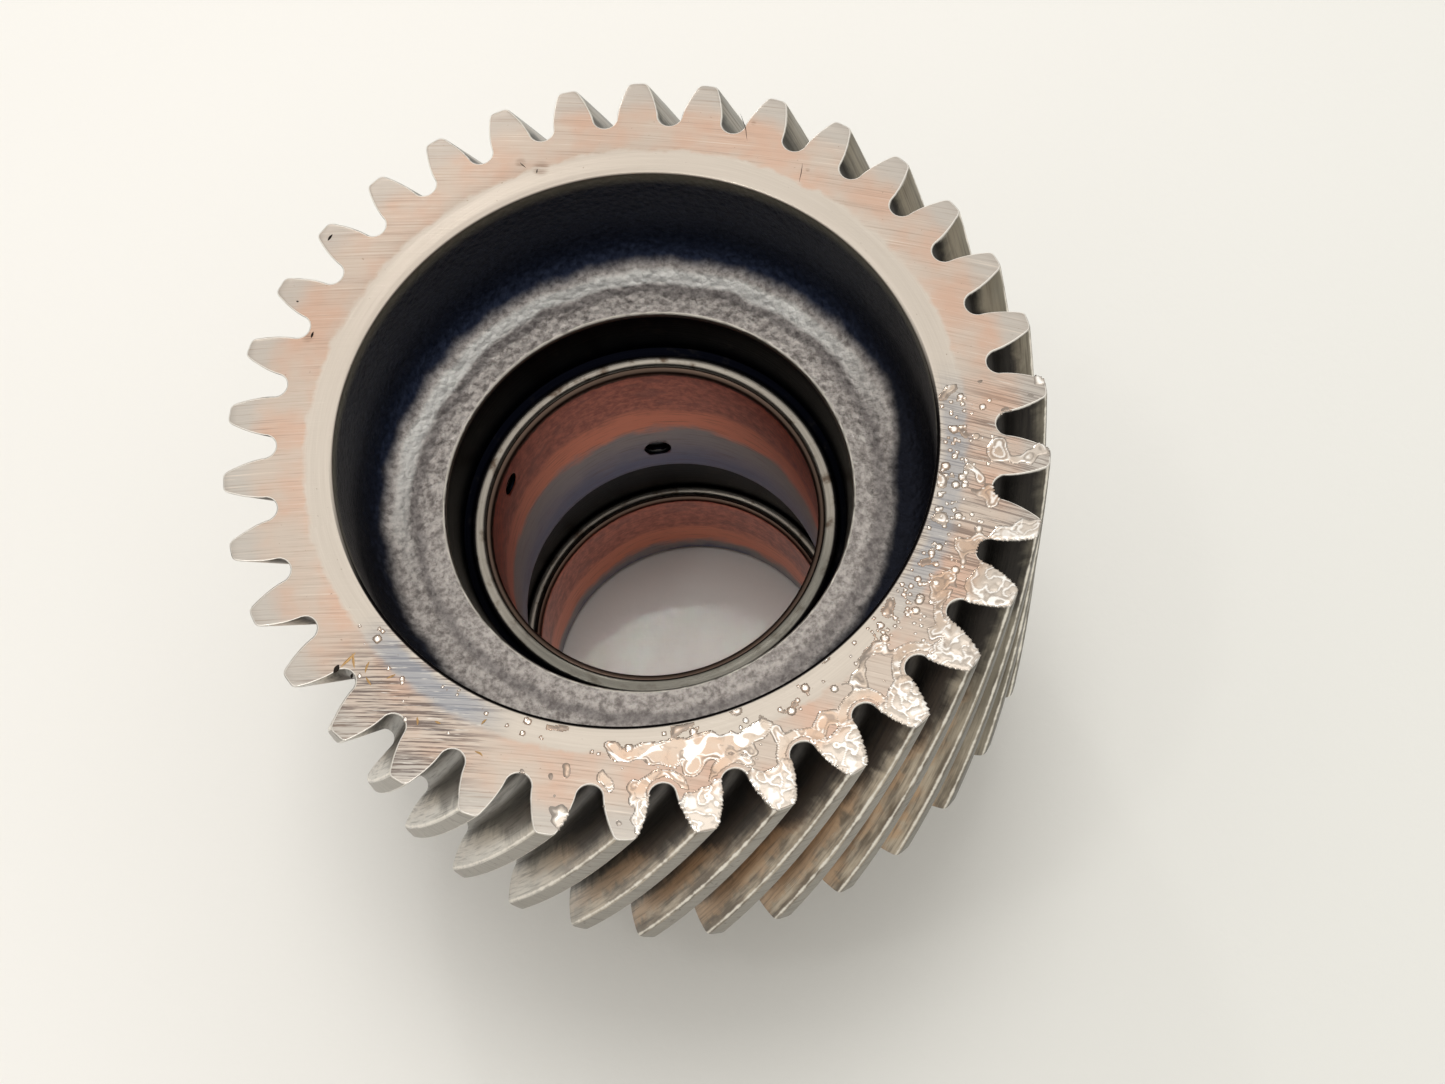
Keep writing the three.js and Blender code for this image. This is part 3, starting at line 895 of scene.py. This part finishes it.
def oil_film(material):
    """Oil on the front face as one thin closed piece, with its edge sunk into the steel."""
    random = np.random.default_rng(34)
    azimuths = np.radians(np.arange(BEADS_FROM, FILM_TO, math.degrees(FILM_STEP / ROOT_RADIUS)))
    radii = np.arange(RECESS_RADIUS + 0.4, TIP_RADIUS, FILM_STEP)
    turn, reach = np.meshgrid(azimuths, radii, indexing="ij")
    x, y = (reach * np.cos(turn)).ravel(), (reach * np.sin(turn)).ravel()
    outline = OUTLINE * np.exp(1j * (FRONT - LENGTH) * TWIST)
    outline = outline[(np.angle(outline) > azimuths[0] - 0.1) & (np.angle(outline) < azimuths[-1] + 0.1)]
    outline = outline[np.argsort(np.angle(outline))]
    limit = np.interp(turn.ravel(), np.angle(outline), np.abs(outline))
    gap = np.empty(len(x))
    for part in np.array_split(np.arange(len(x)), 60):
        gap[part] = np.abs((x[part] + 1j * y[part])[:, None] - outline[None, :]).min(1)
    inside = np.where(reach.ravel() < limit, gap, -gap)
    radius, azimuth = reach.ravel(), np.degrees(turn.ravel())
    layer = [np.zeros(len(x)) for _ in range(3)]
    oiled = azimuth > FILM_FROM
    wet_part = oil_layer(x[oiled], y[oiled], radius[oiled], azimuth[oiled], inside[oiled])
    for whole, part in zip(layer, wet_part):
        whole[oiled] = part
    height, dark, bright = add_beads(layer, x, y, random)
    height = height * smooth(inside, 0.06, 0.3)
    top = FRONT + FILM_EDGE + np.minimum(height, FILM_LIMIT)
    wet = (height > 0.001).reshape(turn.shape)
    cell = wet[:-1, :-1] | wet[1:, :-1] | wet[:-1, 1:] | wet[1:, 1:]
    i, j = np.nonzero(cell)
    corner = i * turn.shape[1] + j
    quads = np.stack([corner, corner + turn.shape[1], corner + turn.shape[1] + 1, corner + 1], 1)
    used, index = np.unique(quads, return_inverse=True)
    quads = index.reshape(quads.shape)
    count = len(used)
    edges = np.concatenate([quads[:, [k, (k + 1) % 4]] for k in range(4)])
    twin = set(map(tuple, edges[:, ::-1].tolist()))
    border = np.array([edge for edge in edges.tolist() if tuple(edge) not in twin])
    walls = np.stack([border[:, 1], border[:, 0], border[:, 0] + count, border[:, 1] + count], 1)
    upper = np.stack([x, y, top], 1)[used]
    lower = upper * (1, 1, 0) + (0, 0, FRONT + FILM_FOOT)
    faces = np.concatenate([quads, quads[:, ::-1] + count, walls])
    film = make_object("oil_film", np.concatenate([upper, lower]), faces.tolist(), [material], sharp=180)
    for name, values in (("outline", dark), ("painted_glint", bright)):
        layer = film.data.attributes.new(name, "FLOAT", "POINT")
        layer.data.foreach_set("value", np.tile(values[used], 2))
    return film


def sliver(path, width, height):
    """Points and faces of a shaving or a chip: a diamond section carried along a path on the face."""
    points, faces = [], []
    for i, at in enumerate(path):
        along = path[min(i + 1, len(path) - 1)] - path[max(i - 1, 0)]
        across = 1j * along / abs(along) * width / 2
        share = math.sin(math.pi * (i + 0.4) / (len(path) - 0.2))
        for side, lift in ((across, 0.3), (0, 1), (-across, 0.3), (0, -0.4)):
            place = at + side * share
            points.append([place.real, place.imag, FRONT + lift * height * share])
    for i in range(len(path) - 1):
        for k in range(4):
            a, b = 4 * i + k, 4 * i + (k + 1) % 4
            faces.append([a, b, b + 4, a + 4])
    faces += [[3, 2, 1, 0], [4 * len(path) - 4 + k for k in range(4)]]
    return points, faces


def slivers(name, places, material, random):
    """Several slivers as one piece. Each has an azimuth, a radius, a length, a heading and a width."""
    points, faces = [], []
    for azimuth, reach, length, heading, width in places:
        turn, lean = math.radians(azimuth), math.radians(heading)
        start = reach * complex(math.cos(turn), math.sin(turn))
        curl = random.uniform(-0.5, 0.5)
        path = [start]
        for _ in range(SLIVER_STEPS):
            lean += curl / SLIVER_STEPS + random.uniform(-0.15, 0.15)
            path.append(path[-1] + length / SLIVER_STEPS * complex(math.cos(lean), math.sin(lean)))
        more, sides = sliver(path, width, SLIVER_HEIGHT)
        faces += [[len(points) + k for k in face] for face in sides]
        points += more
    return make_object(name, points, faces, [material])


SLIVER_STEPS = 8
SLIVER_HEIGHT = 0.085
# azimuth, radius, length, heading and width of each sliver on the face
SHAVINGS = ((-155.6, 34.5, 1.9, 20, 0.26), (-154.0, 33.6, 1.5, 95, 0.22), (-152.2, 33.2, 1.2, 60, 0.2),
            (-150.0, 33.6, 1.0, 100, 0.2), (-149.0, 32.2, 0.9, 20, 0.18), (-140.0, 33.8, 0.8, 75, 0.2),
            (-137.0, 32.6, 0.6, 140, 0.2), (-131.0, 31.0, 0.7, 50, 0.18), (-128.5, 33.6, 0.9, 110, 0.2))
CHIPS = ((-155.6, 35.3, 0.9, 30, 0.5), (-153.0, 34.4, 0.5, 80, 0.25), (144.0, 33.4, 0.7, 60, 0.22),
         (128.0, 37.7, 0.8, 40, 0.26), (139.0, 36.6, 0.25, 0, 0.16), (93.0, 30.6, 0.5, 80, 0.1),
         (55.0, 33.6, 3.2, 72, 0.07), (43.0, 31.2, 2.2, 65, 0.06), (94.5, 31.6, 0.9, 110, 0.08))


# --------------------------------------------------------------------------------------------- assembly

face, flank, land = face_steel(), flank_steel(), land_steel()
forged, bore_steel, turned = forged_steel(), dark_bore_steel(), turned_steel()
shell = shell_steel()
front_bronze = lining_bronze("front_lining_bronze", lining_high.z, worn_from=13.9, worn_to=23.0, rim=1.0)
rear_bronze = lining_bronze("rear_lining_bronze", rear_high.z, worn_from=12.4, worn_to=15.0, rim=0.4)

body = gear_body([face, forged, bore_steel, turned, flank, land])
front_shell = bush_shell("front_bush_steel", shell_low.z, shell_high.z, [shell])
rear_shell = bush_shell("rear_bush_steel", rear_low.z, rear_high.z, [shell])
front_lining = bush_lining("front_bush_bronze", lining_low.z, lining_high.z, [front_bronze])
rear_lining = bush_lining("rear_bush_bronze", rear_low.z, rear_high.z, [rear_bronze])

hole = drilling("oil_hole", OIL_HOLE, HUB_RADIUS + 1, [bore_steel])
pocket = drilling("oil_pocket", OIL_POCKET, SEAT_RADIUS - 0.02, [bore_steel])
cut(body, hole)
cut(front_shell, hole, pocket)
cut(front_lining, hole, pocket)
for tool in (hole, pocket):
    bpy.data.objects.remove(tool)

for piece, node, slot in (
    (body, "gear_body", "gear_steel"),
    (front_shell, "front_bush_shell", "shell_steel"),
    (rear_shell, "rear_bush_shell", "shell_steel"),
    (front_lining, "front_bush_lining", "lining_bronze"),
    (rear_lining, "rear_bush_lining", "lining_bronze"),
):
    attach(piece, "root")
    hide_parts(node)

film = oil_film(film_oil())
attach(film, "root")
scatter = np.random.default_rng(7)
shavings = slivers("shavings", SHAVINGS, swarf(), scatter)
chips = slivers("chips", CHIPS, grime(), scatter)
for debris in (shavings, chips):
    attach(debris, "root")

# ------------------------------------------------------------------------------------------------- stage


def make_floor():
    reach = 4000
    corners = [[-reach, -reach, 0], [reach, -reach, 0], [reach, reach, 0], [-reach, reach, 0]]
    floor = make_object("floor", corners, [[0, 1, 2, 3]], [floor_paper()])


def area_light(name, azimuth, elevation, distance, size, power, glossy=True, spread=180, tint=(1, 1, 1)):
    """A square lamp aimed at the gear. Azimuth is from +X, and distance and size are in metres. One that
    isn't glossy doesn't show in the metal."""
    data = bpy.data.lights.new(name, "AREA")
    data.shape = "SQUARE"
    data.size = size
    data.energy = power
    data.color = tint
    data.spread = math.radians(spread)
    lamp = bpy.data.objects.new(name, data)
    a, e = math.radians(azimuth), math.radians(elevation)
    away = Vector((math.cos(a) * math.cos(e), math.sin(a) * math.cos(e), math.sin(e)))
    lamp.location = Vector((0, 0, LENGTH * MM)) + away * distance
    lamp.rotation_mode = "QUATERNION"
    lamp.rotation_quaternion = away.to_track_quat("Z", "Y")
    lamp.visible_glossy = glossy
    bpy.context.scene.collection.objects.link(lamp)


def make_world(overhead, horizon):
    """A plain room: bright overhead and darker down towards the horizon."""
    world = bpy.data.worlds.new("studio")
    world.use_nodes = True
    tree = world.node_tree
    background = tree.nodes["Background"]
    direction = tree.nodes.new("ShaderNodeTexCoord")
    split = tree.nodes.new("ShaderNodeSeparateXYZ")
    rise = tree.nodes.new("ShaderNodeMapRange")
    rise.inputs["From Min"].default_value = 0.0
    rise.inputs["From Max"].default_value = 0.9
    rise.inputs["To Min"].default_value = horizon
    rise.inputs["To Max"].default_value = overhead
    tree.links.new(direction.outputs["Generated"], split.inputs["Vector"])
    tree.links.new(split.outputs["Z"], rise.inputs["Value"])
    tree.links.new(rise.outputs["Result"], background.inputs["Strength"])
    background.inputs["Color"].default_value = (1.0, 0.985, 0.96, 1.0)
    bpy.context.scene.world = world


CAMERA_AIM = Vector((5.128, -13.056, LENGTH)) * MM
CAMERA_DISTANCE = 203.35 * MM
CAMERA_YAW, CAMERA_TILT, CAMERA_ROLL = -5.6915, 22.617, -11.115
CAMERA_LENS = 55.29


def make_camera():
    data = bpy.data.cameras.new("camera")
    data.lens = CAMERA_LENS
    data.sensor_width = 36
    data.clip_start = 0.01
    camera = bpy.data.objects.new("camera", data)
    turn = (Matrix.Rotation(math.radians(CAMERA_YAW), 4, "Z")
            @ Matrix.Rotation(math.radians(CAMERA_TILT), 4, "X")
            @ Matrix.Rotation(math.radians(CAMERA_ROLL), 4, "Z"))
    back = Matrix.Translation((0, 0, CAMERA_DISTANCE))
    camera.matrix_world = Matrix.Translation(CAMERA_AIM) @ turn @ back
    bpy.context.scene.collection.objects.link(camera)
    bpy.context.scene.camera = camera


make_floor()
make_world(overhead=0.79, horizon=0.48)
area_light("key", azimuth=70, elevation=69, distance=0.9, size=1.3, power=1.85)
area_light("top", azimuth=72, elevation=81, distance=0.9, size=0.28, power=2.4, glossy=False)
area_light("bore", azimuth=72, elevation=81, distance=0.9, size=0.04, power=0.003, glossy=False,
           spread=2, tint=(0.82, 1.0, 0.98))
area_light("card", azimuth=72, elevation=87, distance=0.9, size=0.45, power=0.34)
area_light("spark", azimuth=95, elevation=48, distance=0.8, size=0.05, power=0.25)
area_light("spark_left", azimuth=190, elevation=70, distance=0.8, size=0.06, power=0.25)
make_camera()
bpy.context.scene.view_settings.view_transform = "Standard"
